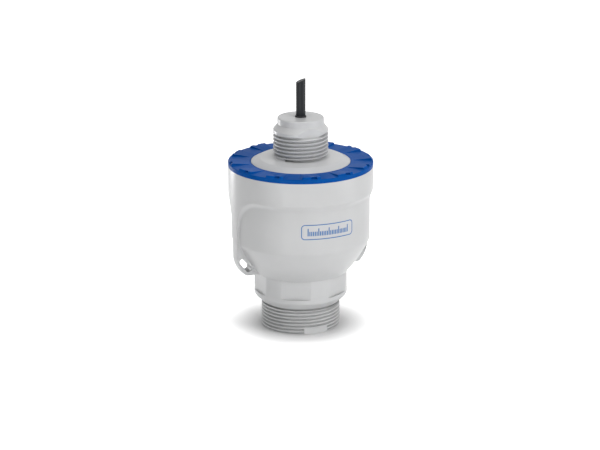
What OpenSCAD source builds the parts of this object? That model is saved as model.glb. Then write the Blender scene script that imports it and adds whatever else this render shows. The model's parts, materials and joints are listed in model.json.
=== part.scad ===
// Radar level transmitter with a fixed cable.
// A closed plastic housing stands on the end face of its lower thread, behind which the antenna looks down.
// The cover with its upper thread is held in the mouth of the housing by a castellated ring.
// Origin: centre of the lower end face. +Z points up to the cable, -Y to the front, the two ears lie on X.

/* [Lower thread] */
// Outside diameter of the lower pipe thread
lower_thread_d = 47.803; // [44:0.001:50]
// Height of the threaded boss below the collar
lower_thread_h = 16.1; // [12:0.1:24]
// Chamfer at the open end of the thread
lower_chamfer = 1; // [0.4:0.1:1.5]
// Depth of the undercut where the thread runs out
undercut_depth = 1.5; // [0.8:0.1:2]
// Height of the undercut
undercut_h = 1.5; // [0.8:0.1:2.5]
// Depth of the marking flat at the front of the thread
lower_flat_depth = 1.2; // [0.5:0.1:1.8]
// Height of the marking flat
lower_flat_h = 4.5; // [2:0.1:8]
// Thickness of the closed end face in front of the antenna
window_wall = 3; // [2:0.1:4.5]

/* [Collar] */
// Width of the collar beyond the lower thread
collar_step = 4.35; // [3.6:0.05:6]
// Height of the taper between thread and collar
collar_taper_h = 4.2; // [2.5:0.1:6]
// Height of the collar from its taper to the bowl
collar_h = 14.5; // [11:0.1:20]
// Depth of the six wrench flats
flat_depth = 1.45; // [0.8:0.05:2.2]
// Height of the round ledge left below the flats
flats_ledge_h = 2.65; // [1:0.05:5]

/* [Bowl and barrel] */
// Height of the curved bowl
bowl_h = 20.9; // [18:0.1:26]
// Radius of the bowl's curve
bowl_curve_r = 36.6; // [30:0.1:60]
// Radius of the upper band and of the ribs
band_r = 43.9; // [42:0.1:46]
// Depth of the recessed panels below the band
panel_depth = 1.9; // [1:0.1:3]
// Height of the recessed panels above the bowl
panel_h = 27.4; // [24:0.1:40]
// Radius of the corners of the panels, measured round the barrel
panel_corner_r = 18; // [8:0.5:20]
// Height of the slope between panel and band
panel_slope_h = 2.6; // [1:0.1:5]
// Height of the full band below the ring
band_h = 14.55; // [12:0.05:24]
// Width of the two side ribs
rib_w = 8; // [6:0.1:12]

/* [Ears] */
// Distance of an ear's tip inside the radius of the ribs
ear_setback = 0.8; // [0.3:0.1:1.6]
// Height of the ear's tip below the top of the bowl
ear_tip_drop = 13.2; // [11:0.1:15]
// Slope of the ear's lower edge
ear_slope = 44; // [38:0.5:50]
// Radius of the ear's tip
ear_tip_round = 3.6; // [2:0.1:4.5]
// Radius of the ear's heel, where it meets the collar
ear_heel_round = 3; // [1:0.1:4]
// Width of the slot through each ear
slot_w = 4; // [3:0.1:4.4]
// Length of the slot
slot_len = 9; // [6:0.1:10.5]
// Material between the slot and the sloping edge
slot_margin = 1.75; // [1.4:0.05:2.4]
// Distance of the slot's middle from the ear's tip, along the sloping edge
slot_shift = 4; // [3.5:0.1:5]

/* [Cavity] */
// Wall between the lower thread and the bore that holds the antenna
thread_wall = 4.6; // [4.2:0.1:6]
// Height of the shoulder that carries the horn, above the collar's taper
shoulder_h = 6.7; // [4:0.1:9]
// Width of that shoulder
shoulder_w = 4.5; // [4:0.1:4.8]
// Wall of the barrel behind the panels
barrel_wall = 4.5; // [3.8:0.1:5.5]
// Wall of the bowl
bowl_wall = 4.5; // [3.5:0.1:5.5]
// Width of the seat that carries the board carrier
seat_w = 2; // [1:0.1:3]
// Height of the carrier's seat above the bowl
carrier_seat_h = 3; // [1:0.1:6]
// Wall round the mouth that takes the ring's skirt
mouth_wall = 2.5; // [2:0.1:3.2]
// Depth of the mouth down to the ledge
mouth_depth = 4; // [3:0.1:6]

/* [Cover] */
// Radius of the cover where it passes through the ring
cover_r = 30; // [28.5:0.1:33]
// Height of the cover's bevel
cover_bevel_h = 2.4; // [1.5:0.1:4]
// Width of the cover's bevel
cover_bevel_w = 5.1; // [3:0.1:7]
// Rise of the crown from the bevel to the upper thread
crown_h = 0.7; // [0.3:0.1:2]
// Outside diameter of the upper pipe thread
upper_thread_d = 33.249; // [31:0.001:36]
// Height of the upper thread
upper_thread_h = 16.9; // [12:0.1:24]
// Depth of the two marking flats
upper_flat_depth = 1.6; // [1.2:0.1:2.2]
// Height of the thread that the marking flats cut
upper_flat_h = 2.8; // [1:0.1:6]
// Width of the step between the thread and the plain nose
nose_step = 2.6; // [2:0.1:3.2]
// Height of the taper between thread and nose
nose_taper_h = 3.3; // [2:0.1:5]
// Height of the plain nose
nose_h = 4; // [2.5:0.1:8]
// Wall at the end of the nose
nose_wall = 3.2; // [2:0.1:4]
// Height of the spigot that enters the housing
spigot_h = 7; // [5.5:0.1:9]
// Thickness of the spigot's wall
spigot_wall = 4.7; // [4:0.1:5.5]
// Thickness of the cover over its recess
roof_wall = 1.4; // [1:0.1:2]
// Width of the step between the cover's rim and its recess
recess_step_w = 2; // [1:0.1:3]
// Height of the step between the cover's flange and its recess
recess_step_h = 2.5; // [1.5:0.1:3.5]
// Radius of the bore for the cable gland
gland_bore_r = 10.5; // [9:0.1:11]

/* [Ring] */
// Height of the ring above the housing
ring_h = 2.65; // [1.5:0.05:4]
// Number of grip lugs round the ring
lug_count = 12; // [8:1:16]
// Angle that one lug covers
lug_angle = 15; // [10:0.5:18]
// Height of the lugs at their outer edge
lug_h = 1.2; // [0.8:0.1:2]
// Distance of the lugs' outer wall from the ring's edge
lug_setback = 0.6; // [0.3:0.1:1.5]
// Distance of the lugs' foot from the ring's hole
lug_foot = 1.3; // [0.5:0.1:4]
// Radius of the notch in the outer wall of each lug
notch_r = 1.5; // [0.8:0.1:2]
// Place of the notch, as an angle from the start of its lug
notch_angle = 9.5; // [6:0.5:10]
// Wall of the skirt that enters the mouth
skirt_wall = 1.2; // [1:0.1:1.6]

/* [Cable] */
// Diameter of the cable
cable_d = 5.8; // [5:0.1:7]
// Length of cable that stands out of the nose
cable_free = 22.3; // [15:0.1:34]
// Slope of the cut at the cable's end
cable_cut = 22.5; // [0:0.5:35]
// Direction in which the cut rises, from +X
cable_cut_turn = -24; // [-180:1:180]
// Diameter of each insulated core
core_d = 1.7; // [1.4:0.1:1.9]
// Distance between the middles of the two cores
core_pitch = 2.6; // [2.2:0.1:3]
// Length of sheath below the clamp
sheath_tail = 6; // [3:0.5:12]

/* [Gland] */
// Height of the rubber bush round the cable
seal_h = 11; // [8:0.1:13]
// Wall of the bush's lip that shows at the nose
lip_wall = 0.4; // [0.3:0.05:0.8]
// Height of the lip above the nose
lip_h = 0.7; // [0.3:0.1:1.5]
// Thickness of the thrust washer
washer_h = 1.5; // [1:0.1:2.5]
// Height of the gland nut
nut_h = 8.5; // [6:0.1:9.5]
// Width across the nut's hexagon socket
nut_socket_af = 12; // [10:0.1:14]
// Depth of the nut's hexagon socket
nut_socket_h = 5; // [3:0.1:5.5]
// Cord diameter of the cover's O-ring
o_ring_d = 2.4; // [1.8:0.1:2.6]

/* [Antenna] */
// Height of the lens at its rim
lens_rim_h = 2; // [1.5:0.1:3]
// Height of the lens's crown above its rim
lens_crown_h = 4.5; // [3:0.1:6]
// Wall of the horn
horn_wall = 1.5; // [1.2:0.1:2]
// Radius of the horn's throat
horn_throat_r = 2.2; // [1.5:0.1:3]
// Thickness of the horn's flange
horn_flange_h = 2; // [1.5:0.1:3]
// Radius of the waveguide insert
insert_r = 5; // [4:0.1:6]
// Height of the waveguide insert
insert_h = 3; // [2.5:0.1:4]
// Radius of the waveguide
waveguide_r = 1.3; // [1:0.1:1.4]

/* [Board carrier] */
// Height of the main board above the carrier's floor
boss_h = 12.8; // [9:0.1:14]
// Radius of the carrier's bosses
boss_r = 3; // [2.5:0.1:3.5]
// Gap between the bosses and the carrier's wall
boss_gap = 1.8; // [0.5:0.1:3]
// Thickness of the carrier's floor
carrier_floor = 2.5; // [2:0.1:4]
// Thickness of the carrier's wall
carrier_wall = 1.5; // [1.2:0.1:2]
// Radius of the opening in the carrier's floor
carrier_hole_r = 25; // [20:0.1:26]

/* [Circuit boards] */
// Thickness of the circuit boards
board_h = 1.6; // [1:0.1:2]
// Width of the radar chip
chip_w = 8; // [5:0.1:10]
// Height of the radar chip
chip_h = 0.9; // [0.6:0.1:1.4]
// Width of the absorber pad on the radar chip
pad_w = 12; // [8:0.1:16]
// Width of the screening can
can_w = 22; // [18:0.1:24]
// Depth of the screening can
can_d = 19; // [16:0.1:20]
// Height of the screening can
can_h = 4.5; // [3:0.1:6]
// Wall of the screening can
can_wall = 0.4; // [0.3:0.05:0.6]
// Length of the sockets for the link strip
socket_l = 16; // [14:0.1:20]
// Height of the sockets
socket_h = 4; // [3:0.1:6]
// Wall of the sockets beside the link strip
socket_wall = 1.5; // [1:0.1:2]
// Thickness of the link strip
strip_t = 1; // [0.8:0.1:1.6]
// Distance of the link strip from the axis
strip_y = 14; // [13:0.1:15]
// Width of the processor chip
processor_w = 10; // [6:0.1:12]
// Height of the processor chip
processor_h = 1.4; // [1:0.1:2]
// Radius of the power coil
coil_r = 5; // [4:0.1:6]
// Height of the power coil
coil_h = 6; // [4:0.1:7]
// Number of capacitors
capacitor_count = 3; // [1:1:3]
// Radius of a capacitor
capacitor_r = 3.2; // [2.5:0.1:3.8]
// Height of a capacitor
capacitor_h = 9; // [6:0.1:10]
// Length of the wireless module
module_l = 16; // [12:0.1:18]
// Width of the wireless module
module_w = 11; // [8:0.1:12]
// Height of the wireless module
module_h = 2.4; // [1.6:0.1:4]

/* [Cable clamp and terminals] */
// Length of the terminal block
terminal_l = 10; // [8:0.1:14]
// Width of the terminal block
terminal_w = 8; // [6:0.1:10]
// Height of the terminal block
terminal_h = 8; // [6:0.1:9]
// Height of the strain relief clamp
clamp_h = 4; // [3:0.1:6]
// Width of the clamp
clamp_w = 10.8; // [9:0.1:13]
// Distance of the clamp's screws from the gland bore
clamp_screw_gap = 3; // [2.6:0.1:3.6]
// Length of the clamp beyond its screws
clamp_end = 3.5; // [3:0.1:5]

/* [Hidden] */
$fn = 96;
bay_drop = 1; // how far the bay ends below the bowl
seat_h = 6; // height of the plain wall below the carrier's seat
lug_draft = 0.2; // lean of a lug's outer wall
slip = 0.2; // radial clearance of pieces that drop into a bore
snug = 0.05; // radial clearance of pieces that hold each other
through = 1; // how far a cutter runs past the face that it opens
arc_steps = 6;
edge = 0.3; // small chamfer on outer edges

// Heights of the housing, from the lower end face up
lower_thread_r = lower_thread_d / 2;
collar_z = lower_thread_h + collar_taper_h;
flats_z = collar_z + flats_ledge_h;
bowl_z = collar_z + collar_h;
panel_z = bowl_z + bowl_h;
slope_z = panel_z + panel_h;
band_z = slope_z + panel_slope_h;
mouth_z = band_z + band_h;
ledge_z = mouth_z - mouth_depth;
shoulder_z = collar_z + shoulder_h;
carrier_z = panel_z + carrier_seat_h;

// Radii of the housing and its cavity
collar_r = lower_thread_r + collar_step;
flat_r = collar_r - flat_depth;
panel_r = band_r - panel_depth;
ear_tip_r = band_r - ear_setback;
antenna_bore_r = lower_thread_r - thread_wall;
bay_r = antenna_bore_r + shoulder_w;
cavity_r = panel_r - barrel_wall;
lower_cavity_r = cavity_r - seat_w;
mouth_r = band_r - mouth_wall;

// Heights of the cover and the cable
ring_top_z = mouth_z + ring_h;
bevel_top_z = ring_top_z + cover_bevel_h;
upper_thread_z = bevel_top_z + crown_h;
upper_thread_r = upper_thread_d / 2;
upper_flat_y = upper_thread_r - upper_flat_depth;
nose_r = upper_thread_r - nose_step;
taper_z = upper_thread_z + upper_thread_h;
nose_z = taper_z + nose_taper_h;
nose_top_z = nose_z + nose_h;
spigot_z = ledge_z - spigot_h;
roof_z = ring_top_z - roof_wall;
cable_r = cable_d / 2;
cable_top_z = nose_top_z + cable_free;
seal_top_z = nose_top_z - nose_wall;
seal_z = seal_top_z - seal_h;
washer_z = seal_z - washer_h;
nut_z = washer_z - nut_h;
clamp_z = roof_z - clamp_h;
sheath_z = clamp_z - sheath_tail;

// Radii of what drops into the housing and of the cover's seal
spigot_r = cavity_r - slip;
skirt_r = mouth_r - slip;
skirt_inner_r = skirt_r - skirt_wall;
flange_r = skirt_inner_r - slip;
ring_hole_r = cover_r + slip;
seal_groove_r = cavity_r - o_ring_d;
seal_groove_z = (spigot_z + ledge_z) / 2;
seal_groove_h = o_ring_d + 2 * slip;

// Heights of the antenna and its board
lens_z = window_wall;
horn_z = lens_z + lens_rim_h;
horn_top_z = shoulder_z + horn_flange_h;
horn_rim_r = antenna_bore_r - slip;
horn_mouth_r = horn_rim_r - horn_wall;
horn_flange_r = bay_r - slip;
insert_z = horn_top_z - insert_h;
rf_top_z = horn_top_z + board_h;
can_y = -3.5; // the can makes room for the socket behind it
lens_gap = 0.4; // between the lens's crown and the horn's mouth

// Heights of the electronics in the barrel
carrier_floor_z = carrier_z + carrier_floor;
main_z = carrier_floor_z + boss_h;
main_top_z = main_z + board_h;
carrier_r = cavity_r - slip;
main_r = carrier_r - carrier_wall - slip;
boss_place_r = carrier_r - carrier_wall - boss_gap - boss_r;
screw_count = 4;
processor_at = main_r * [0.45, 0.28];
module_at = main_r * [0.5, -0.22];
coil_at = main_r * [0, -0.55];
capacitors_at = main_r * [-0.6, 0];
capacitor_pitch = 2.5 * capacitor_r;
clamp_screw_x = gland_bore_r + clamp_screw_gap;

// Screws, each [thread radius, depth of thread, head radius, head height]
horn_screw = [0.85, 4, 1.7, 1.2];
board_screw = [1.2, 5, 2.3, 1.6];
clamp_screw = [1.2, 3, 2.2, 1.6];
screw_end_gap = 1; // depth of a screw's hole below its tip

// ---- outlines ----

function turned(v, a) = [v.x * cos(a) - v.y * sin(a), v.x * sin(a) + v.y * cos(a)];
function unit(v) = v / norm(v);

// A corner b between a and c, rounded to radius r
function corner(a, b, c, r) =
    let (
        u = unit(a - b),
        w = unit(c - b),
        half = acos(max(-1, min(1, u * w))) / 2,
        middle = b + unit(u + w) * r / sin(half),
        start = b + u * r / tan(half) - middle,
        side = sign(cross(w, u))
    )
    [for (i = [0 : arc_steps]) middle + turned(start, side * (180 - 2 * half) * i / arc_steps)];

// A closed outline of [x, y] or [x, y, corner radius] points
function rounded(p) =
    let (n = len(p), at = function (i) [p[i % n].x, p[i % n].y])
    [for (i = [0 : n - 1])
        each len(p[i]) > 2 ? corner(at(i + n - 1), at(i), at(i + 1), p[i][2]) : [at(i)]];

// A rising arc of radius r from a to b that bulges to the right
function bulge(a, b, r) =
    let (
        chord = b - a,
        half = asin(norm(chord) / 2 / r),
        middle = (a + b) / 2 + turned(unit(chord), 90) * r * cos(half),
        n = 2 * arc_steps
    )
    [for (i = [0 : n]) middle + turned(a - middle, 2 * half * i / n)];

// ---- housing ----

module inner_housing() {
    neck_r = lower_thread_r - undercut_depth;
    core_r = (bay_r + flat_r) / 2;
    rotate_extrude() polygon(rounded([
        [0, 0],
        [lower_thread_r - lower_chamfer, 0],
        [lower_thread_r, lower_chamfer],
        [lower_thread_r, lower_thread_h - undercut_h - undercut_depth],
        [neck_r, lower_thread_h - undercut_h],
        [neck_r, lower_thread_h],
        [lower_thread_r, lower_thread_h],
        [collar_r, collar_z, 1],
        [collar_r, flats_z],
        [core_r, flats_z],
        [core_r, bowl_z],
        [0, bowl_z]
    ]));
}

// Collar above its ledge: a round bar with six flats
module collar_flats() {
    intersection() {
        translate([0, 0, flats_z - through]) cylinder(r = collar_r, h = bowl_z - flats_z + 2 * through);
        translate([0, 0, flats_z - 2 * through]) rotate(30)
            cylinder(r = flat_r / cos(30), h = bowl_z - flats_z + 4 * through, $fn = 6);
    }
}

module bowl_and_barrel() {
    rotate_extrude() polygon(concat(
        [[0, bowl_z - through], [(bay_r + flat_r) / 2, bowl_z - through]],
        bulge([collar_r, bowl_z], [panel_r, panel_z], bowl_curve_r),
        [[panel_r, mouth_z - through], [0, mouth_z - through]]
    ));
}

// Everything that stands proud of the barrel before the panels are cut: band, ribs and ears
module proud_housing() {
    heel_z = bowl_z - edge;
    tip_z = panel_z - ear_tip_drop;
    heel_r = ear_tip_r - (tip_z - heel_z) / tan(ear_slope);
    rotate_extrude() polygon(rounded([
        [0, heel_z],
        [heel_r, heel_z, ear_heel_round],
        [ear_tip_r, tip_z, ear_tip_round],
        [band_r, slope_z],
        [band_r, mouth_z],
        [0, mouth_z]
    ]));
}

// Cutter for the front panel: it leaves the ribs at its sides and the slope at its top
module panel_cutter() {
    side = rib_w / 2;
    low_z = flats_z;
    corner_z = slope_z - panel_corner_r;
    side_angle = acos(side / panel_r);
    outer_side_angle = acos(side / band_r);
    corner_angle = panel_corner_r / panel_r * 180 / PI;
    // the lines of the cut run from inside the collar to outside the band
    inner_t = (bay_r - panel_r) / panel_depth;
    outer_t = 1 + 2 * through / panel_depth;
    corner_steps = 9;
    top_steps = 24;
    swing = side_angle - corner_angle;
    // each column is [angle at the panel, angle at the band, height at the panel, height at the band]
    edge = [for (i = [0 : corner_steps]) let (a = 90 * i / corner_steps) [
        swing + corner_angle * cos(a),
        swing + corner_angle * cos(a) + (outer_side_angle - side_angle) * cos(a),
        corner_z + panel_corner_r * sin(a),
        corner_z + (panel_corner_r + panel_slope_h) * sin(a)
    ]];
    top = [for (i = [1 : top_steps - 1]) let (a = swing * (1 - 2 * i / top_steps)) [
        a, a, slope_z, slope_z + panel_slope_h
    ]];
    back = [for (i = [corner_steps : -1 : 0]) [-edge[i][0], -edge[i][1], edge[i][2], edge[i][3]]];
    columns = concat(edge, top, back);
    n = len(columns);
    place = function (r, a, z) [r * sin(a), -r * cos(a), z];
    along = function (c, t)
        place(panel_r, c[0], c[2]) * (1 - t) + place(band_r, c[1], c[3]) * t;
    floor_of = function (p) [p.x, p.y, low_z];
    points = [for (c = columns) each [
        floor_of(along(c, inner_t)), along(c, inner_t), along(c, outer_t), floor_of(along(c, outer_t))
    ]];
    faces = concat(
        [[3, 2, 1, 0], [4 * n - 4, 4 * n - 3, 4 * n - 2, 4 * n - 1]],
        [for (i = [0 : n - 2], k = [0 : 3]) let (
            a = 4 * i + k, b = 4 * i + (k + 1) % 4, c = b + 4, d = a + 4
        ) each [[a, b, c], [a, c, d]]]
    );
    polyhedron(points, faces);
}

module ear_slot() {
    tip_z = panel_z - ear_tip_drop;
    translate([ear_tip_r, 0, tip_z]) rotate([90, 0, 0]) rotate(180 + ear_slope)
        translate([slot_shift, -slot_margin - slot_w / 2])
            linear_extrude(height = rib_w + 2 * slip, center = true) {
                square([slot_len - slot_w, slot_w], center = true);
                for (s = [-1, 1]) translate([s * (slot_len - slot_w) / 2, 0]) circle(d = slot_w, $fn = 48);
            }
}

module cavity() {
    rotate_extrude() polygon(concat(
        [
            [0, window_wall],
            [antenna_bore_r, window_wall],
            [antenna_bore_r, shoulder_z],
            [bay_r, shoulder_z]
        ],
        bulge([bay_r, bowl_z - bay_drop], [lower_cavity_r, carrier_z - seat_h], bowl_curve_r - bowl_wall),
        [
            [lower_cavity_r, carrier_z],
            [cavity_r, carrier_z],
            [cavity_r, ledge_z],
            [mouth_r, ledge_z],
            [mouth_r, mouth_z + through],
            [0, mouth_z + through]
        ]
    ));
}

module housing_body() {
    color([0.79, 0.8, 0.81])
    difference() {
        union() {
            difference() {
                proud_housing();
                for (a = [0, 180]) rotate(a) panel_cutter();
            }
            inner_housing();
            collar_flats();
            bowl_and_barrel();
        }
        cavity();
        for (a = [0, 180]) rotate(a) ear_slot();
        translate([0, lower_flat_depth - lower_thread_r, lower_flat_h / 2])
            translate([-lower_thread_r, -2 * lower_thread_r, -lower_flat_h / 2 - through])
                cube([2 * lower_thread_r, 2 * lower_thread_r, lower_flat_h + through]);
        horn_screw_places() translate([0, 0, shoulder_z]) screw_hole(horn_screw);
    }
}

// ---- antenna and radar board ----

module horn_screw_places() {
    for (i = [0 : 2]) rotate(120 * i + 30) translate([(antenna_bore_r + bay_r) / 2, 0, 0]) children();
}

module antenna_lens() {
    foot_r = horn_mouth_r - lens_gap;
    crown_r = (foot_r * foot_r + lens_crown_h * lens_crown_h) / 2 / lens_crown_h;
    half = asin(foot_r / crown_r);
    color([0.93, 0.93, 0.9])
    rotate_extrude() polygon(concat(
        [[0, lens_z], [horn_rim_r, lens_z], [horn_rim_r, horn_z]],
        [for (i = [0 : 2 * arc_steps]) let (a = half * (1 - i / 2 / arc_steps))
            [crown_r * sin(a), horn_z + lens_crown_h - crown_r * (1 - cos(a))]]
    ));
}

module antenna_horn() {
    neck_r = insert_r + 2 * horn_wall;
    color([0.78, 0.79, 0.8])
    difference() {
        rotate_extrude() polygon([
            [horn_mouth_r, horn_z],
            [horn_rim_r, horn_z],
            [horn_rim_r, horn_z + horn_wall],
            [neck_r, shoulder_z - horn_wall],
            [neck_r, shoulder_z],
            [horn_flange_r, shoulder_z],
            [horn_flange_r, horn_top_z],
            [insert_r + snug, horn_top_z],
            [insert_r + snug, insert_z],
            [horn_throat_r, insert_z]
        ]);
        horn_screw_places() translate([0, 0, shoulder_z - through])
            cylinder(r = horn_screw[0] + slip + snug, h = horn_flange_h + 2 * through);
    }
}

module waveguide_insert() {
    color([0.8, 0.66, 0.35])
    translate([0, 0, insert_z]) difference() {
        cylinder(r = insert_r, h = insert_h);
        translate([0, 0, -through]) cylinder(r = waveguide_r, h = insert_h + 2 * through);
    }
}

module rf_board() {
    color([0.1, 0.35, 0.2])
    translate([0, 0, horn_top_z]) difference() {
        cylinder(r = horn_flange_r, h = board_h);
        horn_screw_places() translate([0, 0, -through])
            cylinder(r = horn_screw[0] + slip + snug, h = board_h + 2 * through);
    }
}

// A block that stands on z, centred on [x, y]
module block(at, size) {
    translate([at.x - size.x / 2, at.y - size.y / 2, at.z]) cube(size);
}

module radar_chip() {
    color([0.12, 0.12, 0.13]) block([0, can_y, rf_top_z], [chip_w, chip_w, chip_h]);
}

module absorber_pad() {
    pad_h = can_h - can_wall - chip_h;
    color([0.25, 0.26, 0.28]) block([0, can_y, rf_top_z + chip_h], [pad_w, pad_w, pad_h]);
}

module shield_can() {
    color([0.75, 0.76, 0.77])
    difference() {
        block([0, can_y, rf_top_z], [can_w, can_d, can_h]);
        block([0, can_y, rf_top_z - through],
            [can_w - 2 * can_wall, can_d - 2 * can_wall, can_h - can_wall + through]);
    }
}

// A socket whose slot opens at its top
module socket(at) {
    slot_d = socket_h / 2;
    difference() {
        block(at, [socket_l, strip_t + 2 * socket_wall, socket_h]);
        block([at.x, at.y, at.z + socket_h - slot_d],
            [socket_l - socket_wall, strip_t + 2 * snug, slot_d + through]);
    }
}

module rf_socket() {
    color([0.15, 0.15, 0.16]) socket([0, strip_y, rf_top_z]);
}

module main_socket() {
    color([0.15, 0.15, 0.16])
    translate([0, 0, 2 * main_z]) mirror([0, 0, 1]) socket([0, strip_y, main_z]);
}

module link_strip() {
    low = rf_top_z + socket_h / 2;
    high = main_z - socket_h / 2;
    color([0.1, 0.35, 0.2]) block([0, strip_y, low], [socket_l - socket_wall - 2 * slip, strip_t, high - low]);
}

// A pan-head screw that points down, its head resting on z = 0 above what it clamps
module screw(kind, clamped_h) {
    shank_l = clamped_h + kind[1];
    difference() {
        union() {
            translate([0, 0, -shank_l]) cylinder(r = kind[0], h = shank_l);
            cylinder(r = kind[2], h = kind[3]);
        }
        translate([0, 0, kind[3] / 2]) rotate(30) cylinder(r = kind[2] / 2, h = kind[3], $fn = 6);
    }
}

// The hole for such a screw, in a face at z = 0
module screw_hole(kind) {
    depth = kind[1] + screw_end_gap;
    translate([0, 0, -depth]) cylinder(r = kind[0] + snug, h = depth + through);
}

module horn_screws() {
    color([0.7, 0.71, 0.73])
    horn_screw_places() translate([0, 0, rf_top_z]) screw(horn_screw, board_h + horn_flange_h);
}

// ---- electronics in the barrel ----

module boss_places() {
    for (i = [0 : screw_count - 1]) rotate(360 / screw_count * (i + 0.5))
        translate([boss_place_r, 0, 0]) children();
}

module board_carrier() {
    color([0.2, 0.21, 0.23])
    difference() {
        union() {
            rotate_extrude() polygon([
                [carrier_hole_r, carrier_z],
                [carrier_r, carrier_z],
                [carrier_r, spigot_z],
                [carrier_r - carrier_wall, spigot_z],
                [carrier_r - carrier_wall, carrier_floor_z],
                [carrier_hole_r, carrier_floor_z]
            ]);
            boss_places() translate([0, 0, carrier_floor_z - through])
                cylinder(r = boss_r, h = boss_h + through);
        }
        boss_places() translate([0, 0, main_z]) screw_hole(board_screw);
    }
}

module main_board() {
    color([0.1, 0.35, 0.2])
    translate([0, 0, main_z]) difference() {
        cylinder(r = main_r, h = board_h);
        boss_places() translate([0, 0, -through])
            cylinder(r = board_screw[0] + slip + snug, h = board_h + 2 * through);
    }
}

module board_screws() {
    color([0.7, 0.71, 0.73])
    boss_places() translate([0, 0, main_top_z]) screw(board_screw, board_h);
}

module processor_chip() {
    color([0.12, 0.12, 0.13])
    block([processor_at.x, processor_at.y, main_top_z], [processor_w, processor_w, processor_h]);
}

// A ferrite drum with a rim at each end
module power_coil() {
    rim_h = coil_h / 6;
    waist_r = 0.72 * coil_r;
    color([0.3, 0.3, 0.32])
    translate([coil_at.x, coil_at.y, main_top_z]) rotate_extrude() polygon([
        [0, 0],
        [coil_r, 0],
        [coil_r, rim_h],
        [waist_r, 1.6 * rim_h],
        [waist_r, coil_h - 1.6 * rim_h],
        [coil_r, coil_h - rim_h],
        [coil_r, coil_h],
        [0, coil_h]
    ]);
}

module capacitors() {
    color([0.7, 0.7, 0.72])
    for (i = [0 : capacitor_count - 1]) let (y = (i - (capacitor_count - 1) / 2) * capacitor_pitch)
        translate([capacitors_at.x, capacitors_at.y + y, main_top_z])
            cylinder(r = capacitor_r, h = capacitor_h);
}

module wireless_module() {
    color([0.72, 0.73, 0.74])
    block([module_at.x, module_at.y, main_top_z], [module_l, module_w, module_h]);
}

module terminal_block() {
    color([0.2, 0.45, 0.3])
    difference() {
        block([0, 0, main_top_z], [terminal_l, terminal_w, terminal_h]);
        core_places() translate([0, 0, main_top_z + terminal_h / 2])
            cylinder(r = core_d / 2 + snug, h = terminal_h);
    }
}

// ---- cable ----

module core_places() {
    for (s = [-1, 1]) translate([s * core_pitch / 2, 0, 0]) children();
}

// What lies above the slanted cut
module cut_off() {
    translate([0, 0, cable_top_z]) rotate(cable_cut_turn) rotate([0, -cable_cut, 0])
        translate([-4 * cable_d, -4 * cable_d, 0]) cube([8 * cable_d, 8 * cable_d, 8 * cable_d]);
}

module core(side) {
    low = main_top_z + terminal_h / 2;
    difference() {
        translate([side * core_pitch / 2, 0, low]) cylinder(d = core_d, h = cable_top_z + cable_d - low);
        cut_off();
    }
}

module core_plus() {
    color([0.13, 0.1, 0.1]) core(1);
}

module core_minus() {
    color([0.1, 0.1, 0.13]) core(-1);
}

module cable_sheath() {
    color([0.1, 0.11, 0.12])
    difference() {
        translate([0, 0, sheath_z]) cylinder(r = cable_r, h = cable_top_z + cable_d - sheath_z);
        core_places() translate([0, 0, sheath_z - through])
            cylinder(r = core_d / 2 + snug, h = cable_top_z + 2 * cable_d - sheath_z);
        cut_off();
    }
}

module clamp_screw_places() {
    for (s = [-1, 1]) translate([s * clamp_screw_x, 0, 0]) children();
}

module cable_clamp() {
    color([0.2, 0.21, 0.23])
    difference() {
        block([0, 0, clamp_z], [2 * (clamp_screw_x + clamp_end), clamp_w, clamp_h]);
        translate([0, 0, clamp_z - through]) cylinder(r = cable_r + snug, h = clamp_h + 2 * through);
        clamp_screw_places() translate([0, 0, clamp_z - through])
            cylinder(r = clamp_screw[0] + slip, h = clamp_h + 2 * through);
    }
}

module clamp_screws() {
    color([0.7, 0.71, 0.73])
    clamp_screw_places() translate([0, 0, clamp_z]) mirror([0, 0, 1])
        screw(clamp_screw, clamp_h);
}

module gland_nut() {
    color([0.3, 0.31, 0.33])
    translate([0, 0, nut_z]) difference() {
        cylinder(r = gland_bore_r - snug, h = nut_h);
        translate([0, 0, -through]) cylinder(r = cable_r + slip, h = nut_h + 2 * through);
        translate([0, 0, -through])
            cylinder(r = nut_socket_af / 2 / cos(30), h = nut_socket_h + through, $fn = 6);
    }
}

module gland_washer() {
    color([0.7, 0.71, 0.73])
    translate([0, 0, washer_z]) difference() {
        cylinder(r = gland_bore_r - slip, h = washer_h);
        translate([0, 0, -through]) cylinder(r = cable_r + slip, h = washer_h + 2 * through);
    }
}

module cable_seal() {
    lip_r = cable_r + snug + lip_wall;
    color([0.08, 0.08, 0.09])
    rotate_extrude() polygon(rounded([
        [cable_r + snug, seal_z],
        [gland_bore_r - slip, seal_z],
        [gland_bore_r - slip, seal_top_z],
        [lip_r, seal_top_z],
        [lip_r, nose_top_z + lip_h, 0.2],
        [cable_r + snug, nose_top_z + lip_h]
    ]));
}

// ---- cover and ring ----

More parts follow.
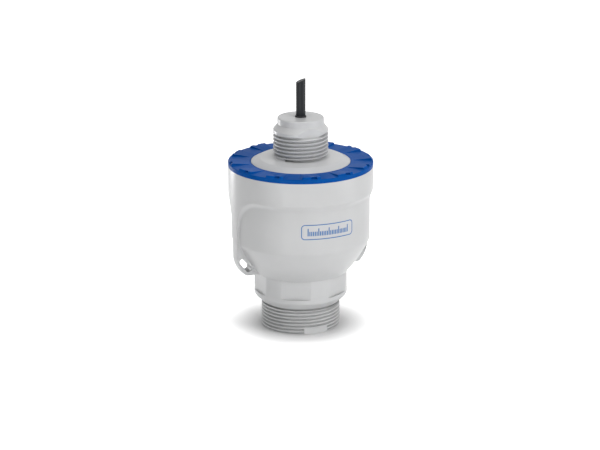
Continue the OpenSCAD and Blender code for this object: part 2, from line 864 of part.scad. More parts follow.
module top_cover() {
    lip_hole_r = cable_r + snug + lip_wall + slip / 2;
    recess_r = cover_r - recess_step_w;
    recess_z = mouth_z - recess_step_h;
    color([0.79, 0.8, 0.81])
    difference() {
        rotate_extrude() polygon(rounded([
            [spigot_r - spigot_wall, spigot_z],
            [spigot_r, spigot_z],
            [spigot_r, seal_groove_z - seal_groove_h / 2],
            [seal_groove_r, seal_groove_z - seal_groove_h / 2],
            [seal_groove_r, seal_groove_z + seal_groove_h / 2],
            [spigot_r, seal_groove_z + seal_groove_h / 2],
            [spigot_r, ledge_z],
            [flange_r, ledge_z],
            [flange_r, mouth_z],
            [cover_r, mouth_z],
            [cover_r, ring_top_z],
            [cover_r - cover_bevel_w, bevel_top_z, 3],
            [upper_thread_r, upper_thread_z],
            [upper_thread_r, taper_z],
            [nose_r, nose_z],
            [nose_r, nose_top_z, 0.8],
            [lip_hole_r, nose_top_z],
            [lip_hole_r, seal_top_z],
            [gland_bore_r, seal_top_z],
            [gland_bore_r, roof_z],
            [recess_r, roof_z],
            [recess_r, recess_z],
            [spigot_r - spigot_wall, recess_z]
        ]));
        for (a = [0, 180]) rotate(a)
            translate([-upper_thread_r, upper_flat_y, taper_z - upper_flat_h])
                cube([2 * upper_thread_r, upper_thread_r, upper_flat_h + nose_taper_h]);
        clamp_screw_places() translate([0, 0, roof_z]) mirror([0, 0, 1]) screw_hole(clamp_screw);
    }
}

module cover_seal() {
    color([0.1, 0.1, 0.11])
    rotate_extrude() translate([seal_groove_r + o_ring_d / 2, seal_groove_z]) circle(d = o_ring_d, $fn = 48);
}

// One grip lug: a wedge that rises outwards, with a notch in its outer wall
module lug() {
    outer_r = band_r - lug_setback;
    foot_r = ring_hole_r + lug_foot;
    difference() {
        rotate_extrude(angle = lug_angle) polygon([
            [foot_r, ring_top_z - ring_h / 2],
            [outer_r, ring_top_z - ring_h / 2],
            [outer_r, ring_top_z],
            [outer_r - lug_draft, ring_top_z + lug_h],
            [foot_r, ring_top_z]
        ]);
        rotate(notch_angle) translate([outer_r, 0, ring_top_z]) cylinder(r = notch_r, h = 2 * lug_h, $fn = 48);
    }
}

module locking_ring() {
    color([0.1, 0.33, 0.66])
    union() {
        rotate_extrude() polygon([
            [ring_hole_r, mouth_z],
            [skirt_inner_r, mouth_z],
            [skirt_inner_r, ledge_z + 2 * slip],
            [skirt_r, ledge_z + 2 * slip],
            [skirt_r, mouth_z],
            [band_r, mouth_z],
            [band_r, ring_top_z - edge],
            [band_r - edge, ring_top_z],
            [ring_hole_r, ring_top_z]
        ]);
        for (i = [0 : lug_count - 1]) rotate(-90 + 360 / lug_count * (i - 0.5) - lug_angle / 2) lug();
    }
}

housing_body();
antenna_lens();
antenna_horn();
waveguide_insert();
rf_board();
radar_chip();
absorber_pad();
shield_can();
rf_socket();
horn_screws();
link_strip();
main_socket();
board_carrier();
main_board();
board_screws();
processor_chip();
power_coil();
capacitors();
wireless_module();
terminal_block();
core_plus();
core_minus();
cable_sheath();
cable_clamp();
clamp_screws();
gland_nut();
gland_washer();
cable_seal();
top_cover();
cover_seal();
locking_ring();
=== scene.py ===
import json
import math

import bmesh
import bpy
import numpy as np
from mathutils import Matrix, Vector


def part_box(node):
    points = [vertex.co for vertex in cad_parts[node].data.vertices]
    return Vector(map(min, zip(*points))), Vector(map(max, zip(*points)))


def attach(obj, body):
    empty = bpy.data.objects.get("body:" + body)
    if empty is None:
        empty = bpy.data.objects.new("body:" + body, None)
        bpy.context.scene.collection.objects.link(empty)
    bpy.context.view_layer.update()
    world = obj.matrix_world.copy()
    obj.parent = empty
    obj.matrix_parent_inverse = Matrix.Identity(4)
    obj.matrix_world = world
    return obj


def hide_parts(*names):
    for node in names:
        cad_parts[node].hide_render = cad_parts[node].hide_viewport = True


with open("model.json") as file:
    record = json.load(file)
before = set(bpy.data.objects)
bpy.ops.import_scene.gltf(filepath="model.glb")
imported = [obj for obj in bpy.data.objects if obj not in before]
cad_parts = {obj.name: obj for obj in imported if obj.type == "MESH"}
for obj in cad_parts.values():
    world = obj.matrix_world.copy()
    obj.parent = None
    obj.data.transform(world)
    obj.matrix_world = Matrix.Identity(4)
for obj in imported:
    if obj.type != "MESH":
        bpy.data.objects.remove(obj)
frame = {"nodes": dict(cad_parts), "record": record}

scene = bpy.context.scene
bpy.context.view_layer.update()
MM = 0.001

# ---- Camera ----
# A long lens looks at the transmitter from its front left and a little from above.
# The lens is long enough to keep the barrel's sides nearly parallel.

view_turn = math.radians(-23.7)
view_rise = math.radians(16.7)
view_distance = 1.74
view_lens = 171.9
aim = Vector((-0.37, 0.16, 62.2)) * MM

to_camera = Vector((
    math.sin(view_turn) * math.cos(view_rise),
    -math.cos(view_turn) * math.cos(view_rise),
    math.sin(view_rise),
))
camera = bpy.data.objects.new("camera", bpy.data.cameras.new("camera"))
camera.data.lens = view_lens
camera.location = aim + to_camera * view_distance
camera.rotation_mode = "QUATERNION"
camera.rotation_quaternion = (-to_camera).to_track_quat("-Z", "Y")
scene.collection.objects.link(camera)
scene.camera = camera

# ---- Housing ----
# One thick-walled moulding in light grey plastic: threaded boss, collar with six flats, bowl and barrel.
# Two ribs run down its sides into slotted ears, and between them the barrel steps back to two panels.
# It is drawn from the mould's radii at each height and angle, with the small radii that moulds leave.

band_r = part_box("locking_ring")[1].x / MM
mouth_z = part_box("housing_body")[1].z / MM
panel_depth = 1.9
panel_r = band_r - panel_depth
thread_r = 23.9015
thread_top = 16.1
undercut = 1.5
undercut_h = 1.25
chamfer = 1.0
collar_r = thread_r + 4.35
collar_low = 20.3
flat_r = collar_r - 1.45
flats_low = 22.95
bowl_low = 34.8
bowl_high = 55.7
bowl_curve = 70.0
corner_size = 18.0
slope_h = 2.6
slope_low = bowl_high + 27.4
rib_half = 4.0
ear_tip = (band_r - 0.8, 42.0)
ear_slope = math.radians(50)
ear_heel = bowl_low + 0.8
ear_rounds = (3.2, 0.9)
slot_size = (10.0, 3.8)
slot_place = (3.1, 2.3)
mark_depth = 1.2
mark_height = 4.5
mark_half = 7.6
lower_pitch = 2.13
lower_depth = 0.58 * lower_pitch
lower_groove_low, lower_groove_high = -1.25, 15.4
thread_start = math.radians(-23.7)
# small radii of the mould, each where two of its forms meet
bowl_round = 0.4
bowl_foot_round = 0.15
panel_round = 0.45
flat_round = 0.2
taper_round = 0.5
collar_round = 0.25
rib_round = 0.6
mouth_round = 0.25
# walls and steps round the space inside
mouth_wall = 2.5
mouth_depth = 4
barrel_wall = 4.5
seat_w = 2
seat_low, seat_top = bowl_high - 3, bowl_high + 3
funnel_z = bowl_low + 11
bay_top = bowl_low - 1
shoulder_w = 4.5
shoulder_z = 27
thread_wall = 4.6
window_wall = 3


def stations(*stretches):
    """Values from start to end of each (start, end, step), with the ends met exactly."""
    values = []
    for start, end, step in stretches:
        count = max(1, round((end - start) / step))
        values += [start + (end - start) * i / count for i in range(count)]
    return np.array(values + [stretches[-1][1]])


def round_cut(a, b, radius):
    """Field of what lies in both a and b, its edge rounded."""
    both = np.hypot(np.maximum(a + radius, 0), np.maximum(b + radius, 0))
    return np.minimum(-radius, np.maximum(a, b)) + both


def round_join(a, b, radius):
    """Field of what lies in a or b, its inner corner filled to a radius."""
    both = np.hypot(np.maximum(radius - a, 0), np.maximum(radius - b, 0))
    return np.maximum(radius, np.minimum(a, b)) - both


def step_share(angle, height):
    """How far, from 0 at the panel to 1 at the band, the slope round a panel has risen at a place."""
    side = math.acos(rib_half / panel_r)
    side_gain = math.acos(rib_half / band_r) - side
    corner = corner_size / panel_r
    u = np.maximum(angle - (side - corner), 0)
    v = np.maximum(height - (slope_low - corner_size), 0)
    low = np.full(u.shape, -corner_size / slope_h * 0.999)
    high = np.full(u.shape, 60.0)
    for _ in range(40):
        middle = (low + high) / 2
        outside = (u / (corner + middle * side_gain)) ** 2 + (v / (corner_size + middle * slope_h)) ** 2 > 1
        low, high = np.where(outside, middle, low), np.where(outside, high, middle)
    return low


def housing_field(r, angle, z, share, steepness):
    """Negative inside the housing. The angle runs from the middle of a panel, 0, to the middle of a rib."""
    # curve of the bowl: an arc from the collar's edge to the panel's lower edge
    chord = np.array([panel_r - collar_r, bowl_high - bowl_low])
    half = math.asin(np.hypot(*chord) / 2 / bowl_curve)
    across = np.array([-chord[1], chord[0]]) / np.hypot(*chord)
    centre = np.array([(panel_r + collar_r) / 2, (bowl_high + bowl_low) / 2])
    centre = centre + across * bowl_curve * math.cos(half)
    bowl = np.hypot(r - centre[0], np.minimum(z, centre[1]) - centre[1]) - bowl_curve
    body = round_cut(round_cut(bowl, r - panel_r, bowl_round), bowl_low - z, bowl_foot_round)
    # ribs, ears and band: the proud outline, cut back by the two panels
    lean = (z - ear_tip[1]) * (band_r - ear_tip[0]) / (slope_low - ear_tip[1])
    outer = r - np.minimum(ear_tip[0] + lean, band_r)
    under = (r - ear_tip[0]) * math.sin(ear_slope) - (z - ear_tip[1]) * math.cos(ear_slope)
    proud = round_cut(round_cut(outer, under, ear_rounds[0]), ear_heel - z, ear_rounds[1])
    slope = (r - panel_r - panel_depth * share) / steepness
    beside = r * np.cos(angle) - rib_half
    proud = round_cut(proud, np.where(z < slope_low - corner_size, beside, slope), panel_round)
    # collar: a round bar with six flats above a round ledge and a taper
    from_flat = np.minimum(np.abs(angle - math.pi / 6), np.abs(angle - math.pi / 2))
    flats = round_cut(r - collar_r, r * np.cos(from_flat) - flat_r, flat_round)
    flats = np.maximum(np.maximum(flats, flats_low - 2 - z), z - bowl_low - 0.3)
    taper = np.array([collar_low - thread_top, thread_r - collar_r])
    taper = ((r - thread_r) * taper[0] + (z - thread_top) * taper[1]) / np.hypot(*taper)
    ledge = round_cut(round_cut(r - collar_r, z - flats_low, flat_round), taper, taper_round)
    collar = round_join(flats, ledge, collar_round)
    return round_join(round_join(body, proud, rib_round), collar, collar_round)


def revolve(name, rows, angles, closed_bottom=None, closed_top=None):
    """A mesh object from rows of (radii, height) in mm that run up the outside, a vertex for each angle."""
    n = len(angles)
    points = []
    for radii, z in rows:
        radii = np.broadcast_to(radii, (n,))
        z = np.broadcast_to(z, (n,))
        points.append(np.stack([radii * np.sin(angles), -radii * np.cos(angles), z], 1))
    count = len(rows)
    grid = np.arange(count * n).reshape(count, n)
    nxt = np.roll(grid, -1, 1)
    rings = range(count if closed_bottom is None and closed_top is None else count - 1)
    faces = []
    for i in rings:
        k = (i + 1) % count
        faces += np.stack([grid[i], nxt[i], nxt[k], grid[k]], 1).tolist()
    points = np.concatenate(points)
    if closed_bottom is not None:
        points = np.vstack([points, [0, 0, closed_bottom]])
        faces += [[len(points) - 1, b, a] for a, b in zip(grid[0], nxt[0])]
    if closed_top is not None:
        points = np.vstack([points, [0, 0, closed_top]])
        faces += [[a, b, len(points) - 1] for a, b in zip(grid[-1], nxt[-1])]
    return new_object(name, points * MM, faces)


def new_object(name, points, faces):
    """A mesh object in the scene, from points in metres and faces that count from the first point."""
    mesh = bpy.data.meshes.new(name)
    points = [tuple(p) for p in np.asarray(points).tolist()]
    mesh.from_pydata(points, [], [list(map(int, f)) for f in faces])
    mesh.validate()
    piece = bpy.data.objects.new(name, mesh)
    scene.collection.objects.link(piece)
    return piece


def keep_result(piece):
    """Turns what the modifiers make into the piece's own mesh, and removes them."""
    bpy.context.view_layer.update()
    made = bpy.data.meshes.new_from_object(piece.evaluated_get(bpy.context.evaluated_depsgraph_get()))
    piece.modifiers.clear()
    piece.data = made
    return piece


def cut_away(piece, *cutters):
    """Takes the cutters out of the piece, and removes them."""
    for cutter in cutters:
        cut = piece.modifiers.new(cutter.name, "BOOLEAN")
        cut.operation = "DIFFERENCE"
        cut.solver = "MANIFOLD"
        cut.object = cutter
    keep_result(piece)
    for cutter in cutters:
        bpy.data.objects.remove(cutter)


def soft_edges(piece, degrees=32):
    """Smooth shading that stops at edges sharper than the angle."""
    mesh = bmesh.new()
    mesh.from_mesh(piece.data)
    bmesh.ops.remove_doubles(mesh, verts=mesh.verts, dist=1e-7)
    for face in mesh.faces:
        face.smooth = True
    for edge in mesh.edges:
        edge.smooth = edge.is_manifold and edge.calc_face_angle(0) < math.radians(degrees)
    mesh.to_mesh(piece.data)
    mesh.free()


def face_outwards(piece):
    """Turns the faces of a closed mesh outwards."""
    mesh = bmesh.new()
    mesh.from_mesh(piece.data)
    bmesh.ops.recalc_face_normals(mesh, faces=mesh.faces)
    mesh.to_mesh(piece.data)
    mesh.free()


def node_input(modifier, name, value):
    """Sets a named input of a geometry node tree through its socket's identifier."""
    for item in modifier.node_group.interface.items_tree:
        if item.item_type == "SOCKET" and item.in_out == "INPUT" and item.name == name:
            modifier[item.identifier] = value


def new_tree(name, inputs):
    """An empty geometry node tree with the named inputs, each (name, socket type, default)."""
    tree = bpy.data.node_groups.new(name, "GeometryNodeTree")
    tree.interface.new_socket("Geometry", in_out="OUTPUT", socket_type="NodeSocketGeometry")
    for label, kind, default in inputs:
        socket = tree.interface.new_socket(label, in_out="INPUT", socket_type="NodeSocket" + kind)
        if default is not None:
            socket.default_value = default
    return tree


def feed(tree, socket, value):
    """Sets a node's socket to a plain number, or links it to another node's output."""
    if isinstance(value, (int, float)):
        socket.default_value = value
    else:
        tree.links.new(value, socket)


def maths(tree, operation, a, b):
    """A sum with two terms, each a number or an output."""
    node = tree.nodes.new("ShaderNodeMath")
    node.operation = operation
    feed(tree, node.inputs[0], a)
    feed(tree, node.inputs[1], b)
    return node.outputs[0]


def groove_tree():
    """A cutter that winds up round a thread, a trapezium swept along a helix."""
    tree = new_tree("thread_groove", [
        ("Radius", "Float", 0.02),
        ("Pitch", "Float", 0.002),
        ("Turns", "Float", 6.0),
        ("Depth", "Float", 0.0013),
        ("Root Width", "Float", 0.0003),
        ("Top Width", "Float", 0.0018),
        ("Overshoot", "Float", 0.0002),
        ("Steps", "Int", 120),
        ("Material", "Material", None),
    ])
    add, link = tree.nodes.new, tree.links.new
    given = add("NodeGroupInput").outputs
    helix = add("GeometryNodeCurveSpiral")
    link(given["Steps"], helix.inputs["Resolution"])
    link(given["Turns"], helix.inputs["Rotations"])
    link(given["Radius"], helix.inputs["Start Radius"])
    link(given["Radius"], helix.inputs["End Radius"])
    link(maths(tree, "MULTIPLY", given["Pitch"], given["Turns"]), helix.inputs["Height"])
    upright = add("GeometryNodeSetCurveNormal")
    upright.mode = "Z_UP"
    link(helix.outputs[0], upright.inputs["Curve"])
    shape = add("GeometryNodeCurvePrimitiveQuadrilateral")
    shape.mode = "TRAPEZOID"
    height = maths(tree, "ADD", given["Depth"], given["Overshoot"])
    link(given["Root Width"], shape.inputs["Bottom Width"])
    link(given["Top Width"], shape.inputs["Top Width"])
    shape.inputs["Offset"].default_value = 0
    link(height, shape.inputs["Height"])
    place = add("GeometryNodeTransform")
    link(shape.outputs[0], place.inputs["Geometry"])
    shift = add("ShaderNodeCombineXYZ")
    middle = maths(tree, "MULTIPLY", maths(tree, "SUBTRACT", given["Depth"], given["Overshoot"]), 0.5)
    link(middle, shift.inputs["X"])
    link(shift.outputs[0], place.inputs["Translation"])
    place.inputs["Rotation"].default_value = (0, 0, math.pi / 2)
    sweep = add("GeometryNodeCurveToMesh")
    sweep.inputs["Fill Caps"].default_value = True
    link(upright.outputs[0], sweep.inputs["Curve"])
    link(place.outputs[0], sweep.inputs["Profile Curve"])
    real = add("GeometryNodeRealizeInstances")
    link(sweep.outputs[0], real.inputs[0])
    paint = add("GeometryNodeSetMaterial")
    link(real.outputs[0], paint.inputs["Geometry"])
    link(given["Material"], paint.inputs["Material"])
    link(paint.outputs[0], add("NodeGroupOutput").inputs[0])
    return tree


def groove_cutter(name, radius, pitch, depth, low_z, high_z, start_angle):
    """Cutter for one thread, in mm, from low_z up to high_z, starting at an angle from the front."""
    turns = (high_z - low_z) / pitch
    root_width = 0.15 * pitch
    flank = math.tan(math.radians(27.5))
    overshoot = 0.2
    cutter = new_object(name, [(0, 0, 0)], [])
    modifier = cutter.modifiers.new("groove", "NODES")
    modifier.node_group = bpy.data.node_groups.get("thread_groove") or groove_tree()
    for label, value in (
        ("Radius", radius * MM), ("Pitch", pitch * MM), ("Turns", turns), ("Depth", depth * MM),
        ("Root Width", root_width * MM), ("Top Width", (root_width + 2 * flank * (depth + overshoot)) * MM),
        ("Overshoot", overshoot * MM),
    ):
        node_input(modifier, label, value)
    keep_result(cutter)
    turn = Matrix.Rotation(start_angle + math.pi / 2, 4, "Z")
    right_handed = Matrix.Scale(-1, 4, (1, 0, 0))
    cutter.data.transform(Matrix.Translation((0, 0, low_z * MM)) @ turn @ right_handed)
    cutter.data.flip_normals()
    return cutter


def slot_cutter(side):
    """Cutter for the slot through one ear, flared at both faces; the side is 1 or -1."""
    length, width = slot_size
    along = np.array([-math.cos(ear_slope), -math.sin(ear_slope)])
    inwards = np.array([-math.sin(ear_slope), math.cos(ear_slope)])
    middle = np.array(ear_tip) + along * slot_place[0] + inwards * (slot_place[1] + width / 2)
    steps = 14
    flare = 0.3
    past = 0.6
    rings = [(-rib_half - past, flare), (-rib_half, flare)]
    for a in (0.4, 0.8, 1.2, math.pi / 2):
        rings.append((-rib_half + flare * math.sin(a), flare * (1 - math.sin(a))))
    rings += [(-y, grow) for y, grow in reversed(rings)]
    points, faces = [], []
    for y, grow in rings:
        radius = width / 2 + grow
        for end in (1, -1):
            for i in range(steps + 1):
                a = math.pi * i / steps - math.pi / 2
                forth = end * ((length - width) / 2 + radius * math.cos(a))
                x, z = middle + along * forth + inwards * (end * radius * math.sin(a))
                points.append((side * x, y, z))
    n = 2 * (steps + 1)
    for k in range(len(rings) - 1):
        for i in range(n):
            j = (i + 1) % n
            faces.append([k * n + i, k * n + j, (k + 1) * n + j, (k + 1) * n + i])
    faces += [list(range(n))[::-1], [(len(rings) - 1) * n + i for i in range(n)]]
    cutter = new_object("slot", np.array(points) * MM, faces)
    face_outwards(cutter)
    return cutter


def block_cutter(name, low, high):
    """A box between two corners, in mm."""
    cutter = new_object(name, [(0, 0, 0)], [])
    box = bmesh.new()
    bmesh.ops.create_cube(box, size=1)
    for v in box.verts:
        v.co = [MM * (low[i] if v.co[i] < 0 else high[i]) for i in range(3)]
    box.to_mesh(cutter.data)
    box.free()
    return cutter


def shader_group(name, inputs):
    """An empty group with inputs (name, socket type, default), the piece's own space, and its two ends."""
    group = bpy.data.node_groups.new(name, "ShaderNodeTree")
    for label, kind, default in inputs:
        socket = group.interface.new_socket(label, in_out="INPUT", socket_type="NodeSocket" + kind)
        socket.default_value = default
    for label, kind in (("Colour", "Color"), ("Roughness", "Float"), ("Normal", "Vector")):
        group.interface.new_socket(label, in_out="OUTPUT", socket_type="NodeSocket" + kind)
    add = group.nodes.new
    place = add("ShaderNodeTexCoord").outputs["Object"]
    return group, place, add("NodeGroupInput").outputs, add("NodeGroupOutput").inputs


def noise(tree, place, scale, detail=2.0, stretch=None):
    """Noise in the piece's own space, scale cells to the metre; stretch is a factor along X, Y and Z."""
    if stretch:
        mapping = tree.nodes.new("ShaderNodeMapping")
        mapping.inputs["Scale"].default_value = stretch
        tree.links.new(place, mapping.inputs["Vector"])
        place = mapping.outputs[0]
    node = tree.nodes.new("ShaderNodeTexNoise")
    node.inputs["Detail"].default_value = detail
    tree.links.new(place, node.inputs["Vector"])
    feed(tree, node.inputs["Scale"], scale)
    return node.outputs["Fac"]


def spread(tree, value, low, high):
    """Stretches the middle of a noise, 0.3 to 0.7, to run from low to high."""
    node = tree.nodes.new("ShaderNodeMapRange")
    node.inputs["From Min"].default_value = 0.3
    node.inputs["From Max"].default_value = 0.7
    tree.links.new(value, node.inputs["Value"])
    feed(tree, node.inputs["To Min"], low)
    feed(tree, node.inputs["To Max"], high)
    return node.outputs[0]


def shades(tree, value, share):
    """Brightness that follows a noise, from 1 less the share to 1 more."""
    darker = maths(tree, "SUBTRACT", 1.0, share)
    return spread(tree, value, darker, maths(tree, "ADD", 1.0, share))


def tinted(tree, colour, value):
    """The colour with its brightness multiplied by a value."""
    node = tree.nodes.new("ShaderNodeHueSaturation")
    tree.links.new(value, node.inputs["Value"])
    tree.links.new(colour, node.inputs["Color"])
    return node.outputs[0]


def bump(tree, height, strength, distance, normal=None):
    """Normal of a relief, distance high in metres at full strength, laid over another normal."""
    node = tree.nodes.new("ShaderNodeBump")
    if normal:
        tree.links.new(normal, node.inputs["Normal"])
    node.inputs["Distance"].default_value = distance
    tree.links.new(strength, node.inputs["Strength"])
    tree.links.new(height, node.inputs["Height"])
    return node.outputs[0]


def moulded_skin():
    """Injection-moulded plastic: a fine spark-eroded grain, and slow changes of shade and gloss.

    Recesses get a painted shade, and sharp edges are very slightly rounded and get a painted highlight.
    """
    group, place, given, out = shader_group("moulded_skin", [
        ("Colour", "Color", (0.6, 0.6, 0.6, 1)),
        ("Shade", "Float", 0.02),
        ("Roughness", "Float", 0.45),
        ("Grain", "Float", 0.15),
        ("Grain Scale", "Float", 2600.0),
        ("Recess Shade", "Float", 0.48),
        ("Recess Size", "Float", 0.003),
        ("Edge Radius", "Float", 0.00025),
        ("Edge Light", "Float", 0.3),
    ])
    slow = noise(group, place, 55, 3)
    # painted shade: an occlusion node darkens the colour in recesses, where shade falls
    open_share = group.nodes.new("ShaderNodeAmbientOcclusion")
    open_share.only_local = True
    open_share.samples = 8
    group.links.new(given["Recess Size"], open_share.inputs["Distance"])
    closed = maths(group, "SUBTRACT", 1.0, open_share.outputs["AO"])
    kept = maths(group, "SUBTRACT", 1.0, maths(group, "MULTIPLY", closed, given["Recess Shade"]))
    # painted highlight: edges that the bevel node rounds are made lighter in the colour, except in recesses
    soft = group.nodes.new("ShaderNodeBevel")
    soft.samples = 6
    group.links.new(given["Edge Radius"], soft.inputs["Radius"])
    bend = group.nodes.new("ShaderNodeVectorMath")
    bend.operation = "DOT_PRODUCT"
    group.links.new(soft.outputs[0], bend.inputs[0])
    group.links.new(group.nodes.new("ShaderNodeNewGeometry").outputs["Normal"], bend.inputs[1])
    edge = maths(group, "MULTIPLY", maths(group, "SUBTRACT", 1.0, bend.outputs["Value"]), 5.0)
    edge = maths(group, "MULTIPLY", maths(group, "MINIMUM", edge, 1.0), open_share.outputs["AO"])
    kept = maths(group, "ADD", kept, maths(group, "MULTIPLY", edge, given["Edge Light"]))
    value = maths(group, "MULTIPLY", shades(group, slow, given["Shade"]), kept)
    group.links.new(tinted(group, given["Colour"], value), out["Colour"])
    grain = noise(group, place, given["Grain Scale"], 3)
    gloss = spread(group, noise(group, place, 240, 2), -0.03, 0.03)
    group.links.new(maths(group, "ADD", given["Roughness"], gloss), out["Roughness"])
    group.links.new(bump(group, grain, given["Grain"], 5e-5, soft.outputs[0]), out["Normal"])
    return group


def material(name, make_group, values, **uniform):
    """A material whose shader a group feeds: values are the group's inputs, uniform the shader's own."""
    made = bpy.data.materials.new(name)
    made.use_nodes = True
    tree = made.node_tree
    shader = tree.nodes["Principled BSDF"]
    node = tree.nodes.new("ShaderNodeGroup")
    node.node_tree = bpy.data.node_groups.get(make_group.__name__) or make_group()
    for label, value in values.items():
        node.inputs[label].default_value = value
    for label, socket in (("Colour", "Base Color"), ("Roughness", "Roughness"), ("Normal", "Normal")):
        tree.links.new(node.outputs[label], shader.inputs[socket])
    for label, value in uniform.items():
        shader.inputs[label.replace("_", " ")].default_value = value
    return made


def paint(piece, made):
    """Gives a piece its one material."""
    piece.data.materials.clear()
    piece.data.materials.append(made)


def make_housing():
    """The whole moulding without its grooves, slots and marking flat, finer where it bends more."""
    quarter = stations(
        (0, 10.6, 2.65), (10.6, 12.6, 0.4), (12.6, 47.4, 2.9), (47.4, 49.4, 0.4), (49.4, 70.6, 1.1),
        (70.6, 72.6, 0.4), (72.6, 81.6, 1.1), (81.6, 85.4, 0.16), (85.4, 90, 0.95),
    )
    half = np.concatenate([quarter, 180 - quarter[-2::-1]])
    angles = np.radians(np.concatenate([half, 360 - half[-2:0:-1]]))
    folded = np.minimum(np.abs(angles), 2 * math.pi - np.abs(angles))
    folded = np.minimum(folded, math.pi - folded)
    heights = stations(
        (thread_top, 19, 1.4), (19, 21.2, 0.22), (21.2, 22.6, 1.4), (22.6, 23.3, 0.1), (23.3, 34.2, 3.6),
        (34.2, 35.1, 0.1), (35.1, 46.5, 0.3), (46.5, 54.6, 0.8), (54.6, 56.8, 0.3), (56.8, 64, 2.4),
        (64, 82, 0.9), (82, 87, 0.2), (87, 100.6, 3.4), (100.6, mouth_z, 0.11),
    )
    z, angle = np.meshgrid(heights, folded, indexing="ij")
    share = step_share(angle, z)
    tiny = 1e-3
    rise_z = (step_share(angle, z + tiny) - share) / tiny
    rise_a = (step_share(angle + tiny / panel_r, z) - share) / tiny
    steepness = np.sqrt(1 + panel_depth**2 * (rise_z**2 + rise_a**2))
    # walk in from outside to the first wall, then close in on it
    nearest = 20.0
    found = np.full(z.shape, nearest)
    seen = np.zeros(z.shape, bool)
    stride = 0.2
    for r in np.arange(band_r + 0.5, nearest, -stride):
        inside = housing_field(r, angle, z, share, steepness) <= 0
        found = np.where(inside & ~seen, r, found)
        seen |= inside
    low, high = found, found + stride
    for _ in range(20):
        middle = (low + high) / 2
        inside = housing_field(middle, angle, z, share, steepness) <= 0
        low, high = np.where(inside, middle, low), np.where(inside, high, middle)
    low[-1] -= mouth_round
    low[-2] -= mouth_round * 0.3
    rows = [
        (thread_r - chamfer, 0), (thread_r, chamfer), (thread_r, thread_top - undercut_h),
        (thread_r - undercut, thread_top - undercut_h + 0.3), (thread_r - undercut, thread_top - 0.02),
    ]
    rows += list(zip(low, heights))
    mouth_r = band_r - mouth_wall
    cavity_r = panel_r - barrel_wall
    seat_r = cavity_r - seat_w
    bore_r = thread_r - thread_wall
    bay_r = bore_r + shoulder_w
    rows += [
        (mouth_r, mouth_z), (mouth_r, mouth_z - mouth_depth), (cavity_r, mouth_z - mouth_depth),
        (cavity_r, seat_top), (seat_r, seat_top), (seat_r, seat_low),
        (0.8 * seat_r + 0.2 * bay_r, funnel_z), (bay_r, bay_top), (bay_r, shoulder_z),
        (bore_r, shoulder_z), (bore_r, window_wall),
    ]
    return revolve("housing", rows, angles, closed_bottom=0, closed_top=window_wall)


grey = (0.60, 0.605, 0.61, 1)
grey_plastic = material(
    "grey_plastic", moulded_skin, {"Colour": grey, "Roughness": 0.32, "Grain": 0.03}, IOR=1.5
)
housing = make_housing()
mark_y = mark_depth - thread_r
lower_groove = groove_cutter(
    "lower_groove", thread_r, lower_pitch, lower_depth, lower_groove_low, lower_groove_high, thread_start
)
# the groove stops on either side of the marking flat
cut_away(lower_groove, block_cutter("plain", (-mark_half, -30, -3), (mark_half, -15, mark_height)))
cut_away(
    housing,
    lower_groove,
    slot_cutter(1),
    slot_cutter(-1),
    block_cutter("mark", (-thread_r, mark_y - thread_r, -1), (thread_r, mark_y, mark_height)),
)
soft_edges(housing)
paint(housing, grey_plastic)
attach(housing, "root")
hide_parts("housing_body")

# ---- Top cover ----
# A round moulding in the same grey plastic: a spigot with an O-ring groove, a flange and a low crown.
# From the crown rises a pipe thread with two flats, and above it the plain nose that the cable leaves by.

cover_low, cover_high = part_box("top_cover")
upper_pitch = 2.309
upper_depth = 0.62 * upper_pitch
upper_groove_low, upper_groove_high = 106.3, 122
upper_start = thread_start - 0.61
upper_r = 16.6245
nose_r = upper_r - 2.6
nose_top = cover_high.z / MM
nose_z = nose_top - 4
taper_z = nose_z - 3.3
crown_z = taper_z - 16.9
bevel_z = crown_z - 0.7
ring_top = bevel_z - 2.4
upper_flat_y = upper_r - 2.1
upper_flat_low = taper_z - 2.8
cover_r = 30.0
lip_hole_r = 3.45
flange_r = cover_high.x / MM
spigot_r = flange_r - 2.5
spigot_z = cover_low.z / MM
spigot_wall = 4.7
flange_z = spigot_z + 7
seal_z = spigot_z + 3.5
seal_depth = 2.2
seal_half = 1.4
bevel_w = 5.1
gland_r = 10.5
nose_wall = 3.2
inner_r = 28
roof_z = ring_top - 1.4
roof_foot = mouth_z - 2.5


def profile(points, steps=6):
    """Outline in mm with its corners rounded, from (radius, height) or (radius, height, corner radius)."""
    out = []
    for i, point in enumerate(points):
        here = np.array(point[:2])
        if len(point) < 3:
            out.append(tuple(here))
            continue
        back = np.array(points[i - 1][:2]) - here
        ahead = np.array(points[(i + 1) % len(points)][:2]) - here
        back, ahead = back / np.hypot(*back), ahead / np.hypot(*ahead)
        half = math.acos(np.clip(back @ ahead, -1, 1)) / 2
        reach = point[2] / math.tan(half)
        middle = here + (back + ahead) / np.hypot(*(back + ahead)) * point[2] / math.sin(half)
        start = np.arctan2(*(here + back * reach - middle)[::-1])
        swing = np.arctan2(*(here + ahead * reach - middle)[::-1]) - start
        swing = (swing + math.pi) % (2 * math.pi) - math.pi
        for k in range(steps + 1):
            a = start + swing * k / steps
            out.append(tuple(middle + point[2] * np.array([math.cos(a), math.sin(a)])))
    return out


